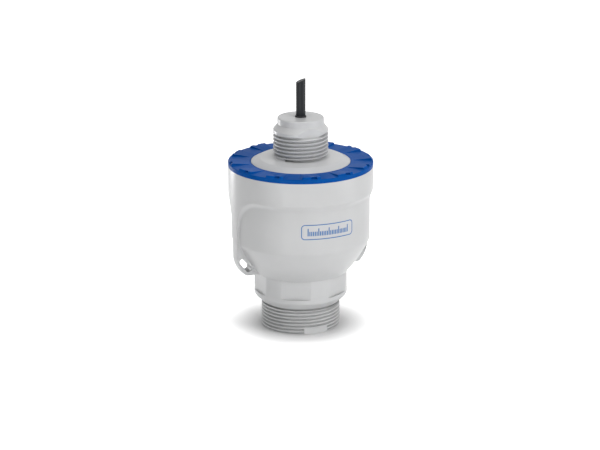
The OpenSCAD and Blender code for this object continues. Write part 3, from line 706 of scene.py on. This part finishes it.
def make_cover():
    """The cover without its thread and flats, turned from its outline up the outside and down the bore."""
    rows = profile([
        (spigot_r - spigot_wall, spigot_z, 0.3),
        (spigot_r, spigot_z, 0.5),
        (spigot_r, seal_z - seal_half, 0.15),
        (spigot_r - seal_depth, seal_z - seal_half),
        (spigot_r - seal_depth, seal_z + seal_half),
        (spigot_r, seal_z + seal_half, 0.15),
        (spigot_r, flange_z),
        (flange_r, flange_z, 0.2),
        (flange_r, mouth_z, 0.2),
        (cover_r, mouth_z),
        (cover_r, ring_top - 0.05, 0.25),
        (cover_r - bevel_w, bevel_z, 3),
        (upper_r, crown_z, 0.25),
        (upper_r, taper_z, 0.3),
        (nose_r, nose_z, 0.4),
        (nose_r, nose_top, 0.8),
        (lip_hole_r, nose_top, 0.25),
        (lip_hole_r, nose_top - nose_wall),
        (gland_r, nose_top - nose_wall),
        (gland_r, roof_z),
        (inner_r, roof_z, 0.5),
        (inner_r, roof_foot),
        (spigot_r - spigot_wall, roof_foot),
    ])
    return revolve("cover", rows, np.radians(np.arange(0, 360, 2)))


cover = make_cover()
cut_away(
    cover,
    groove_cutter(
        "upper_groove", upper_r, upper_pitch, upper_depth, upper_groove_low, upper_groove_high, upper_start
    ),
    block_cutter("front_flat", (-upper_r, -upper_r - 1, upper_flat_low), (upper_r, -upper_flat_y, nose_z)),
    block_cutter("back_flat", (-upper_r, upper_flat_y, upper_flat_low), (upper_r, upper_r + 1, nose_z)),
)
soft_edges(cover)
paint(cover, grey_plastic)
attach(cover, "root")
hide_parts("top_cover")

# ---- Locking ring ----
# A blue moulded ring, turned by hand: its skirt presses the cover down into the mouth of the housing.
# Twelve wedges rise towards its edge, each with a bite for a pin spanner in its outer wall.

lug_count = 12
lug_angle = 15.0
lug_start = -15.0 - lug_angle / 2
lug_h = 1.2
lug_outer = band_r - 0.6
lug_foot = 31.5
lug_lean = 0.7
notch_r = 1.9
notch_angle = 9.5
hole_r = cover_r + 0.2
skirt_r = band_r - 2.7
skirt_wall = 1.2
skirt_low = mouth_z - 3.6
seat_z = mouth_z + 0.02


def ring_sector():
    """One twelfth of the ring, open where it meets the next, with its lug in the middle."""
    gap = 360 / lug_count - lug_angle
    angles = stations(
        (-gap / 2, -0.4, 1.4), (-0.4, 0.4, 0.16), (0.4, lug_angle - 0.4, 1.1),
        (lug_angle - 0.4, lug_angle + 0.4, 0.16), (lug_angle + 0.4, lug_angle + gap / 2, 1.4),
    )
    side = 0.5
    up, down = (angles + side / 2) / side, (lug_angle + side / 2 - angles) / side
    on_lug = np.clip(up, 0, 1) * np.clip(down, 0, 1)
    on_lug = on_lug * on_lug * (3 - 2 * on_lug)
    lip = profile([
        (lug_outer, 0), (lug_outer - lug_lean, lug_h, 0.25), (lug_foot, 0, 1.5), (hole_r + 0.3, 0),
    ], 4)
    rows = profile([
        (hole_r, seat_z), (skirt_r - skirt_wall, seat_z), (skirt_r - skirt_wall, skirt_low, 0.2),
        (skirt_r, skirt_low, 0.2), (skirt_r, seat_z), (band_r, seat_z, 0.15),
        (band_r, ring_top, 0.35), (lug_outer + 0.05, ring_top),
    ], 4)
    rows += [(r, ring_top + z) for r, z in lip]
    rows += profile([(hole_r + 0.31, ring_top), (hole_r, ring_top, 0.3), (hole_r, ring_top - 0.8)], 4)[1:]
    turn = np.radians(angles)
    points = []
    for r, z in rows:
        height = np.where(z > ring_top, ring_top + (z - ring_top) * on_lug, z)
        points.append(np.stack([r * np.sin(turn), -r * np.cos(turn), height], 1))
    n = len(angles)
    grid = np.arange(len(rows) * n).reshape(len(rows), n)
    faces = []
    for i in range(len(rows)):
        k = (i + 1) % len(rows)
        faces += np.stack([grid[i, :-1], grid[i, 1:], grid[k, 1:], grid[k, :-1]], 1).tolist()
    return new_object("sector", np.concatenate(points) * MM, faces)


def round_tree():
    """Copies of a piece set round the upright axis, merged where they meet."""
    tree = new_tree("set_round", [
        ("Geometry", "Geometry", None),
        ("Count", "Int", 12),
        ("Start", "Float", 0.0),
        ("Material", "Material", None),
    ])
    add, link = tree.nodes.new, tree.links.new
    given = add("NodeGroupInput").outputs
    places = add("GeometryNodePoints")
    link(given["Count"], places.inputs["Count"])
    turns = add("ShaderNodeCombineXYZ")
    step = maths(tree, "DIVIDE", 2 * math.pi, given["Count"])
    index = add("GeometryNodeInputIndex").outputs[0]
    link(maths(tree, "ADD", maths(tree, "MULTIPLY", step, index), given["Start"]), turns.inputs["Z"])
    copies = add("GeometryNodeInstanceOnPoints")
    link(places.outputs[0], copies.inputs["Points"])
    link(given["Geometry"], copies.inputs["Instance"])
    link(turns.outputs[0], copies.inputs["Rotation"])
    real = add("GeometryNodeRealizeInstances")
    link(copies.outputs[0], real.inputs[0])
    merge = add("GeometryNodeMergeByDistance")
    merge.inputs["Distance"].default_value = 2e-6
    link(real.outputs[0], merge.inputs["Geometry"])
    paint = add("GeometryNodeSetMaterial")
    link(merge.outputs[0], paint.inputs["Geometry"])
    link(given["Material"], paint.inputs["Material"])
    link(paint.outputs[0], add("NodeGroupOutput").inputs[0])
    return tree


def set_round(piece, start):
    """Repeats the piece round the axis, once for each lug, the first at an angle from where it is."""
    modifier = piece.modifiers.new("set_round", "NODES")
    modifier.node_group = bpy.data.node_groups.get("set_round") or round_tree()
    node_input(modifier, "Count", lug_count)
    node_input(modifier, "Start", math.radians(start))
    return keep_result(piece)


def notch_cutter():
    """An upright pin where the bite of the first lug is, its foot just above the ring's face."""
    pin = new_object("notch", [(0, 0, 0)], [])
    turn = math.radians(notch_angle)
    pin_h = 4
    middle = Vector((lug_outer * math.sin(turn), -lug_outer * math.cos(turn), ring_top + 0.02 + pin_h / 2))
    made = bmesh.new()
    bmesh.ops.create_cone(
        made, cap_ends=True, segments=36, radius1=notch_r * MM, radius2=notch_r * MM, depth=pin_h * MM,
        matrix=Matrix.Translation(middle * MM),
    )
    made.to_mesh(pin.data)
    made.free()
    return pin


ring = set_round(ring_sector(), lug_start)
ring.name = "ring"
cut_away(ring, set_round(notch_cutter(), lug_start))
soft_edges(ring)
# the ring's colour carries painted shade in its recesses and a strong painted highlight on its edges
paint(ring, material("blue_plastic", moulded_skin, {
    "Colour": (0.003, 0.086, 0.37, 1), "Shade": 0.04, "Roughness": 0.32, "Grain": 0.03,
    "Recess Shade": 0.5, "Edge Light": 1.2,
}, Specular_IOR_Level=0.02))
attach(ring, "root")
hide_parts("locking_ring")

# ---- Printed field ----
# A field pad-printed in blue ink on the front panel: a thin frame with round corners round a plain scale.
# The ink lies on the plastic as a layer a few hundredths of a millimetre thick.

field_z = 70.0
field_w = 34.2
field_h = 9.3
field_corner = 2.2
line_w = 0.5
ink_h = 0.03
tick_count = 25
tick_gap = 1.08
tick_size = (0.6, 4.6)
short_share = 0.58
long_every = 6


def ink():
    """Printed ink: a little thin in places, so that the plastic shows through."""
    group, place, given, out = shader_group("ink", [
        ("Colour", "Color", (0.02, 0.2, 0.5, 1)),
        ("Plastic", "Color", (0.6, 0.6, 0.6, 1)),
        ("Thin", "Float", 0.15),
        ("Roughness", "Float", 0.5),
    ])
    patches = noise(group, place, 1800, 4)
    blend = group.nodes.new("ShaderNodeMix")
    blend.data_type = "RGBA"
    group.links.new(spread(group, patches, 0.0, given["Thin"]), blend.inputs["Factor"])
    group.links.new(given["Colour"], blend.inputs["A"])
    group.links.new(given["Plastic"], blend.inputs["B"])
    group.links.new(blend.outputs["Result"], out["Colour"])
    gloss = spread(group, patches, -0.05, 0.05)
    group.links.new(maths(group, "ADD", given["Roughness"], gloss), out["Roughness"])
    group.links.new(bump(group, patches, given["Thin"], 2e-5), out["Normal"])
    return group


def on_panel(s, z, lift):
    """Point at a distance s round the panel from its middle, lifted off the plastic, in mm."""
    r = panel_r + lift
    a = s / panel_r
    return r * math.sin(a), -r * math.cos(a), z


def field_frame():
    """The frame: a narrow band round a rectangle with round corners, bent round the panel."""
    path = []
    for k in range(4):
        cx = (field_w / 2 - field_corner) * (1 if k in (0, 3) else -1)
        cz = (field_h / 2 - field_corner) * (1 if k in (0, 1) else -1)
        for i in range(9):
            a = math.radians(90 * k + 90 * i / 8)
            path.append(((cx, cz), (math.cos(a), math.sin(a))))
        if k in (0, 2):
            side = -1 if k == 0 else 1
            for i in range(1, 16):
                path.append(((cx + side * (field_w - 2 * field_corner) * i / 16, cz), (0, -side)))
    points, faces = [], []
    for (cx, cz), (nx, nz) in path:
        for reach, lift in ((0, ink_h), (-line_w, ink_h), (-line_w, -ink_h), (0, -ink_h)):
            r = field_corner + reach
            points.append(on_panel(cx + nx * r, field_z + cz + nz * r, lift))
    n = len(path)
    for i in range(n):
        j = (i + 1) % n
        for k in range(4):
            m = (k + 1) % 4
            faces.append([4 * i + k, 4 * j + k, 4 * j + m, 4 * i + m])
    return new_object("field_frame", np.array(points) * MM, faces)


def scale_tree():
    """A scale: upright strokes spaced round an arc, with every few of them long."""
    tree = new_tree("scale", [
        ("Geometry", "Geometry", None),
        ("Count", "Int", 25),
        ("Spacing", "Float", 0.02),
        ("Long Every", "Int", 6),
        ("Short", "Float", 0.5),
        ("Foot", "Float", 0.0),
        ("Material", "Material", None),
    ])
    add, link = tree.nodes.new, tree.links.new
    given = add("NodeGroupInput").outputs
    places = add("GeometryNodePoints")
    link(given["Count"], places.inputs["Count"])
    index = add("GeometryNodeInputIndex").outputs[0]
    middle = maths(tree, "MULTIPLY", maths(tree, "SUBTRACT", given["Count"], 1.0), 0.5)
    turns = add("ShaderNodeCombineXYZ")
    from_middle = maths(tree, "SUBTRACT", index, middle)
    link(maths(tree, "MULTIPLY", from_middle, given["Spacing"]), turns.inputs["Z"])
    left = maths(tree, "MODULO", index, given["Long Every"])
    is_short = maths(tree, "GREATER_THAN", left, 0.5)
    drop = maths(tree, "MULTIPLY", is_short, maths(tree, "SUBTRACT", 1.0, given["Short"]))
    size = add("ShaderNodeCombineXYZ")
    size.inputs["X"].default_value = 1
    size.inputs["Y"].default_value = 1
    link(maths(tree, "SUBTRACT", 1.0, drop), size.inputs["Z"])
    copies = add("GeometryNodeInstanceOnPoints")
    link(places.outputs[0], copies.inputs["Points"])
    link(given["Geometry"], copies.inputs["Instance"])
    link(turns.outputs[0], copies.inputs["Rotation"])
    link(size.outputs[0], copies.inputs["Scale"])
    lift = add("ShaderNodeCombineXYZ")
    link(given["Foot"], lift.inputs["Z"])
    real = add("GeometryNodeRealizeInstances")
    link(copies.outputs[0], real.inputs[0])
    move = add("GeometryNodeTransform")
    link(real.outputs[0], move.inputs["Geometry"])
    link(lift.outputs[0], move.inputs["Translation"])
    paint = add("GeometryNodeSetMaterial")
    link(move.outputs[0], paint.inputs["Geometry"])
    link(given["Material"], paint.inputs["Material"])
    link(paint.outputs[0], add("NodeGroupOutput").inputs[0])
    return tree


def field_scale(colour):
    """The strokes of the scale, standing on a common foot."""
    half = tick_size[0] / 2
    points = [
        on_panel(s, z, lift) for z in (0, tick_size[1]) for s, lift in (
            (-half, -ink_h), (half, -ink_h), (half, ink_h), (-half, ink_h))
    ]
    faces = [[3, 2, 1, 0], [4, 5, 6, 7]] + [[k, (k + 1) % 4, (k + 1) % 4 + 4, k + 4] for k in range(4)]
    stroke = new_object("field_scale", np.array(points) * MM, faces)
    modifier = stroke.modifiers.new("scale", "NODES")
    modifier.node_group = scale_tree()
    for label, value in (
        ("Count", tick_count), ("Spacing", tick_gap / panel_r), ("Long Every", long_every),
        ("Short", short_share), ("Foot", (field_z - tick_size[1] / 2) * MM), ("Material", colour),
    ):
        node_input(modifier, label, value)
    return keep_result(stroke)


blue_ink = material(
    "blue_ink", ink, {"Colour": (0.0, 0.14, 0.44, 1), "Plastic": grey, "Thin": 0.06}, Specular_IOR_Level=0.2
)
for piece in (field_frame(), field_scale(blue_ink)):
    face_outwards(piece)
    paint(piece, blue_ink)
    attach(piece, "root")

# ---- Cable ----
# A round cable with a smooth extruded jacket, gripped in the nose by a rubber bush and cut off at a slant.
# Its two insulated cores end flush with the cut, and the bush's lip seals it where it leaves the nose.

nodes = frame["nodes"]


def extruded_skin():
    """Extruded jacket: faint streaks along the cable and a little dust."""
    group, place, given, out = shader_group("extruded_skin", [
        ("Colour", "Color", (0.02, 0.02, 0.02, 1)),
        ("Shade", "Float", 0.15),
        ("Roughness", "Float", 0.4),
        ("Streaks", "Float", 0.2),
    ])
    streaks = noise(group, place, 2200, 2, (1, 1, 0.03))
    dust = noise(group, place, 900, 4)
    group.links.new(tinted(group, given["Colour"], shades(group, dust, given["Shade"])), out["Colour"])
    gloss = spread(group, dust, -0.06, 0.06)
    group.links.new(maths(group, "ADD", given["Roughness"], gloss), out["Roughness"])
    group.links.new(bump(group, streaks, given["Streaks"], 4e-5), out["Normal"])
    return group


jacket = material(
    "jacket", extruded_skin, {"Colour": (0.008, 0.01, 0.013, 1), "Roughness": 0.38}, Specular_IOR_Level=0.2
)
insulation = material("insulation", extruded_skin, {"Colour": (0.03, 0.03, 0.034, 1), "Roughness": 0.45})
rubber = material(
    "rubber", moulded_skin, {"Colour": (0.016, 0.016, 0.018, 1), "Shade": 0.1, "Roughness": 0.6}
)
for name, made in (
    ("cable_sheath", jacket), ("core_plus", insulation), ("core_minus", insulation),
    ("cable_seal", rubber), ("cover_seal", rubber),
):
    paint(nodes[name], made)

# ---- Inside of the housing ----
# Turned and stamped metal, dark moulded holders and green circuit boards, closed in by the housing.
# They keep their construction shapes, and each gets the surface that its material has.


def worked_metal():
    """Turned or rolled metal: fine rings round the upright axis, and spots duller than the rest."""
    group, place, given, out = shader_group("worked_metal", [
        ("Colour", "Color", (0.7, 0.7, 0.7, 1)),
        ("Shade", "Float", 0.06),
        ("Roughness", "Float", 0.3),
        ("Rings", "Float", 0.3),
    ])
    rings = group.nodes.new("ShaderNodeTexWave")
    rings.wave_type = "RINGS"
    rings.rings_direction = "Z"
    rings.inputs["Scale"].default_value = 900
    rings.inputs["Distortion"].default_value = 1.5
    group.links.new(place, rings.inputs["Vector"])
    spots = noise(group, place, 500, 3)
    group.links.new(tinted(group, given["Colour"], shades(group, spots, given["Shade"])), out["Colour"])
    gloss = spread(group, spots, -0.08, 0.08)
    group.links.new(maths(group, "ADD", given["Roughness"], gloss), out["Roughness"])
    group.links.new(bump(group, rings.outputs["Fac"], given["Rings"], 2e-5), out["Normal"])
    return group


def solder_mask():
    """Green mask over copper: straight tracks show through it a shade lighter and stand a little proud."""
    group, place, given, out = shader_group("solder_mask", [
        ("Colour", "Color", (0.02, 0.15, 0.06, 1)),
        ("Shade", "Float", 0.3),
        ("Roughness", "Float", 0.35),
        ("Relief", "Float", 0.4),
    ])
    cells = group.nodes.new("ShaderNodeTexVoronoi")
    cells.distance = "MANHATTAN"
    cells.inputs["Scale"].default_value = 300
    group.links.new(place, cells.inputs["Vector"])
    tracks = maths(group, "PINGPONG", cells.outputs["Distance"], 0.12)
    tracks = maths(group, "GREATER_THAN", tracks, 0.06)
    shade = maths(group, "ADD", 1.0, maths(group, "MULTIPLY", tracks, given["Shade"]))
    group.links.new(tinted(group, given["Colour"], shade), out["Colour"])
    gloss = spread(group, noise(group, place, 700, 2), -0.05, 0.05)
    group.links.new(maths(group, "ADD", given["Roughness"], gloss), out["Roughness"])
    group.links.new(bump(group, tracks, given["Relief"], 3e-5), out["Normal"])
    return group


def foam_skin():
    """Absorber foam: open pores, with painted shade at their bottoms."""
    group, place, given, out = shader_group("foam_skin", [
        ("Colour", "Color", (0.05, 0.05, 0.055, 1)),
        ("Roughness", "Float", 0.9),
        ("Pores", "Float", 0.8),
    ])
    cells = group.nodes.new("ShaderNodeTexVoronoi")
    cells.inputs["Scale"].default_value = 2500
    group.links.new(place, cells.inputs["Vector"])
    height = maths(group, "MINIMUM", maths(group, "MULTIPLY", cells.outputs["Distance"], 1.6), 1.0)
    group.links.new(tinted(group, given["Colour"], maths(group, "ADD", height, 0.4)), out["Colour"])
    smoother = maths(group, "MULTIPLY", height, 0.1)
    group.links.new(maths(group, "SUBTRACT", given["Roughness"], smoother), out["Roughness"])
    group.links.new(bump(group, height, given["Pores"], 1e-4), out["Normal"])
    return group


inner_materials = {
    "dark_plastic": (moulded_skin, {"Colour": (0.05, 0.055, 0.06, 1), "Shade": 0.06}, {}),
    "steel": (worked_metal, {"Colour": (0.6, 0.6, 0.62, 1), "Roughness": 0.3}, {"Metallic": 1.0}),
    "circuit_board": (solder_mask, {}, {}),
    "chip": (moulded_skin, {"Colour": (0.02, 0.02, 0.021, 1), "Shade": 0.08, "Roughness": 0.5}, {}),
    "ferrite": (moulded_skin, {"Colour": (0.06, 0.06, 0.07, 1), "Shade": 0.12, "Grain": 0.4}, {}),
    "aluminium": (worked_metal, {"Colour": (0.78, 0.79, 0.8, 1), "Roughness": 0.28}, {"Metallic": 1.0}),
    "tinned_steel": (worked_metal, {"Colour": (0.7, 0.7, 0.7, 1), "Rings": 0.05}, {"Metallic": 1.0}),
    "terminal": (moulded_skin, {"Colour": (0.03, 0.2, 0.09, 1), "Shade": 0.05}, {}),
    "foam": (foam_skin, {}, {}),
    "brass": (worked_metal, {"Colour": (0.75, 0.6, 0.25, 1), "Roughness": 0.25}, {"Metallic": 1.0}),
    "lens": (moulded_skin, {"Colour": (0.85, 0.85, 0.8, 1), "Roughness": 0.5}, {"Subsurface Weight": 0.2}),
}
made_inner = {}
for entry in frame["record"]["subparts"]:
    slot = entry["material_slot"]
    if slot in inner_materials:
        if slot not in made_inner:
            group, values, uniform = inner_materials[slot]
            made_inner[slot] = material(slot, group, values, **uniform)
        paint(nodes[entry["node"]], made_inner[slot])

# ---- Floor and background ----
# A plain white sheet without an edge in view, seen as white, with the shadow of the foot on it.
# Its white is a glow for the eye alone, a little less near the foot, and less still where a painted shadow
# of the foot falls, over the real shadow on the lit sheet.


def show_white(tree, is_surface, lit, strength):
    """A glow of the level lit for every ray, and stronger for rays that look at it or mirror it."""
    path = tree.nodes.new("ShaderNodeLightPath").outputs
    looks = maths(tree, "MAXIMUM", path["Is Camera Ray"], path["Is Glossy Ray"])
    looks = maths(tree, "MAXIMUM", looks, path["Is Transmission Ray"])
    glow = tree.nodes.new("ShaderNodeEmission" if is_surface else "ShaderNodeBackground")
    glow.inputs[0].default_value = (1, 1, 1, 1)
    white = maths(tree, "MULTIPLY", looks, strength)
    tree.links.new(maths(tree, "ADD", white, lit), glow.inputs["Strength"])
    return glow.outputs[0]


floor_glow = 0.95
floor_bounce = 0.1
floor_grey = 0.7
floor_half = 6
floor_z = -5e-5
shadow_reach = 0.03
shadow_power = 3.2
glow_reach = (0.12, 0.5)
corners = [(x * floor_half, y * floor_half, floor_z) for x, y in ((-1, -1), (1, -1), (1, 1), (-1, 1))]
floor = new_object("floor", corners, [[0, 1, 2, 3]])
paper = bpy.data.materials.new("paper")
paper.use_nodes = True
tree = paper.node_tree
matt = tree.nodes.new("ShaderNodeBsdfPrincipled")
matt.inputs["Roughness"].default_value = 0.5
matt.inputs["Specular IOR Level"].default_value = 0.3
place = tree.nodes.new("ShaderNodeTexCoord").outputs["Object"]
white = tree.nodes.new("ShaderNodeRGB")
white.outputs[0].default_value = (floor_grey, floor_grey, floor_grey, 1)
clouds = spread(tree, noise(tree, place, 30), 0.99, 1.01)
tree.links.new(tinted(tree, white.outputs[0], clouds), matt.inputs["Base Color"])
# painted shadow: an occlusion node dims the glow round the foot
near = tree.nodes.new("ShaderNodeAmbientOcclusion")
near.samples = 16
near.inputs["Distance"].default_value = shadow_reach
shade = maths(tree, "POWER", near.outputs["AO"], shadow_power)
reach = tree.nodes.new("ShaderNodeVectorMath")
reach.operation = "LENGTH"
tree.links.new(place, reach.inputs[0])
far = tree.nodes.new("ShaderNodeMapRange")
far.interpolation_type = "SMOOTHSTEP"
far.inputs["From Min"].default_value, far.inputs["From Max"].default_value = glow_reach
far.inputs["To Min"].default_value = floor_glow
tree.links.new(reach.outputs["Value"], far.inputs["Value"])
level = maths(tree, "SUBTRACT", maths(tree, "MULTIPLY", far.outputs[0], shade), floor_bounce)
both = tree.nodes.new("ShaderNodeAddShader")
tree.links.new(matt.outputs[0], both.inputs[0])
tree.links.new(show_white(tree, True, floor_bounce, level), both.inputs[1])
tree.links.new(both.outputs[0], tree.nodes["Material Output"].inputs["Surface"])
paint(floor, paper)

sky = bpy.data.worlds.new("sky")
scene.world = sky
sky.use_nodes = True
tree = sky.node_tree
tree.links.new(show_white(tree, False, 0.0, 1.0), tree.nodes["World Output"].inputs["Surface"])

# ---- Lamps ----
# Low strip lights stand close round the transmitter and draw the upright streaks on its barrel.
# Two soft boxes and a broad one overhead fill in between them.

lamps = {
    # name: (turn from the camera, height angle, distance, width, height, watts)
    "strip_back_left": (-130, 0, 0.34, 0.06, 0.11, 0.203),
    "strip_left": (-45, 0, 0.34, 0.06, 0.11, 0.075),
    "strip_front": (-20, 0, 0.34, 0.06, 0.11, 0.15),
    "strip_front_right": (8, 0, 0.34, 0.06, 0.11, 0.075),
    "strip_right": (66, 0, 0.34, 0.06, 0.11, 0.06),
    "strip_far_right": (81, 0, 0.34, 0.06, 0.11, 0.08),
    "box_front": (15, 28, 1.2, 0.35, 0.6, 0.94),
    "box_right": (58, 28, 1.2, 0.35, 0.6, 4.6),
    "overhead": (0, 85, 1.2, 0.8, 0.8, 8.2),
}
for name, (turn, rise, distance, width, height, watts) in lamps.items():
    data = bpy.data.lights.new(name, "AREA")
    data.shape = "RECTANGLE"
    data.size = width
    data.size_y = height
    data.energy = watts
    lamp = bpy.data.objects.new(name, data)
    a, b = view_turn + math.radians(turn), math.radians(rise)
    place = Vector((math.sin(a) * math.cos(b), -math.cos(a) * math.cos(b), math.sin(b))) * distance
    lamp.location = place + aim
    lamp.rotation_mode = "QUATERNION"
    lamp.rotation_quaternion = (-place).to_track_quat("-Z", "Y")
    lamp.visible_camera = False
    scene.collection.objects.link(lamp)

scene.view_settings.view_transform = "Standard"
bpy.context.view_layer.update()
